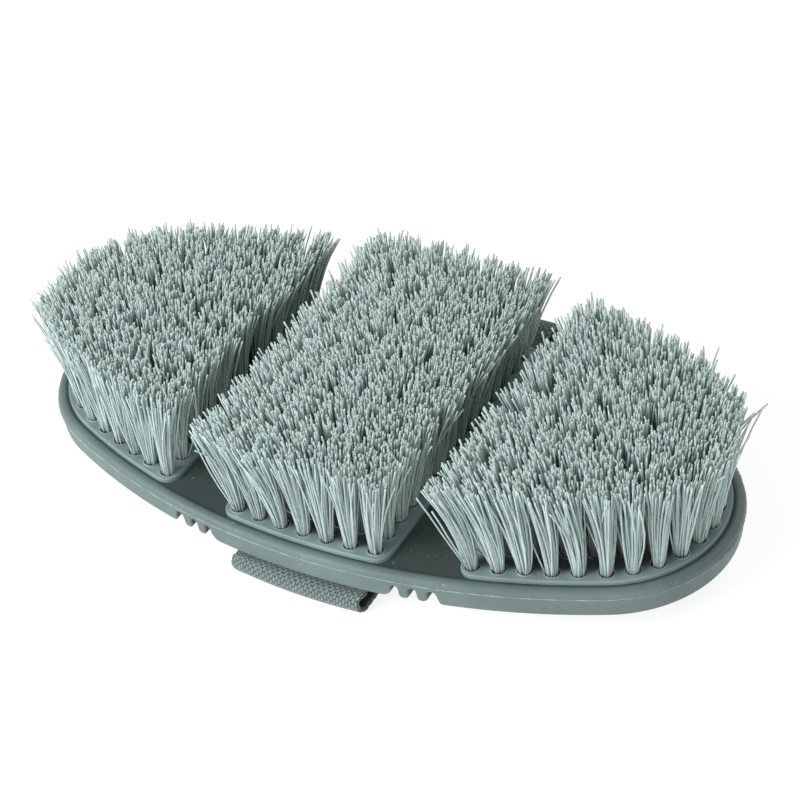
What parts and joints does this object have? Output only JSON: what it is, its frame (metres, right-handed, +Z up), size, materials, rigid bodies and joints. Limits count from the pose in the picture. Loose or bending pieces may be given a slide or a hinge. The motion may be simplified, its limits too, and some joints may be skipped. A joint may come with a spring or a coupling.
{
  "type": "flexible grooming brush",
  "caption": "Oval hand-held grooming brush: a bending rubber back in segments carries fields of stiff bristles and a webbing hand strap.",
  "frame": {"origin": "centre of the oval back, on the surface that the hand strap rests on", "axes": "+X along the brush to its right end, +Y across the brush to the side with the strap's slack, +Z up to the bristle tips"},
  "size_m": [0.196, 0.1185, 0.0422],
  "materials": {
    "rubber": "satin moulded rubber, grey-green",
    "plate": "fine matt moulding, grey-green",
    "bristle": "extruded filament with a soft sheen, pale grey-green",
    "webbing": "coarse woven webbing, grey-green",
    "anchor_wire": "flat drawn wire",
    "staple_wire": "zinc-plated wire"
  },
  "bodies": {
    "middle": {"rubber_back_middle": "rubber", "tuft_plate_middle": "plate", "tufts_middle": "bristle", "tuft_anchors_middle": "anchor_wire", "strap_tab_front": "webbing", "strap_tab_rear": "webbing", "strap_staples_front": "staple_wire", "strap_staples_rear": "staple_wire", "strap_loop_front": "webbing", "strap_palm_band": "webbing", "strap_loop_rear": "webbing"},
    "right_inner_rib": {"rib_right_inner": "rubber"},
    "right_outer_rib": {"rib_right_outer": "rubber"},
    "right_wing": {"rubber_back_right": "rubber", "tuft_plate_right": "plate", "tufts_right": "bristle", "tuft_anchors_right": "anchor_wire"},
    "left_inner_rib": {"rib_left_inner": "rubber"},
    "left_outer_rib": {"rib_left_outer": "rubber"},
    "left_wing": {"rubber_back_left": "rubber", "tuft_plate_left": "plate", "tufts_left": "bristle", "tuft_anchors_left": "anchor_wire"}
  },
  "joints": [
    {"name": "right_bend_inner", "type": "hinge", "parent": "middle", "child": "right_inner_rib", "pos_m": [0.027, 0, 0.0135], "axis": [0, -1, 0], "range_deg": [-8, 4.5], "stiffness_Nm_per_rad": 6},
    {"name": "right_bend_middle", "type": "hinge", "parent": "right_inner_rib", "child": "right_outer_rib", "pos_m": [0.0317, 0, 0.0135], "axis": [0, -1, 0], "range_deg": [-8, 4.5]},
    {"name": "right_bend_outer", "type": "hinge", "parent": "right_outer_rib", "child": "right_wing", "pos_m": [0.0364, 0, 0.0135], "axis": [0, -1, 0], "range_deg": [-8, 4.5]},
    {"name": "left_bend_inner", "type": "hinge", "parent": "middle", "child": "left_inner_rib", "pos_m": [-0.027, 0, 0.0135], "axis": [0, 1, 0], "range_deg": [-8, 4.5], "stiffness_Nm_per_rad": 6},
    {"name": "left_bend_middle", "type": "hinge", "parent": "left_inner_rib", "child": "left_outer_rib", "pos_m": [-0.0317, 0, 0.0135], "axis": [0, 1, 0], "range_deg": [-8, 4.5]},
    {"name": "left_bend_outer", "type": "hinge", "parent": "left_outer_rib", "child": "left_wing", "pos_m": [-0.0364, 0, 0.0135], "axis": [0, 1, 0], "range_deg": [-8, 4.5]}
  ],
  "couplings": [
    {"joint": "right_bend_middle", "follows": "right_bend_inner", "ratio": 1},
    {"joint": "right_bend_outer", "follows": "right_bend_inner", "ratio": 1},
    {"joint": "left_bend_middle", "follows": "left_bend_inner", "ratio": 1},
    {"joint": "left_bend_outer", "follows": "left_bend_inner", "ratio": 1}
  ]
}
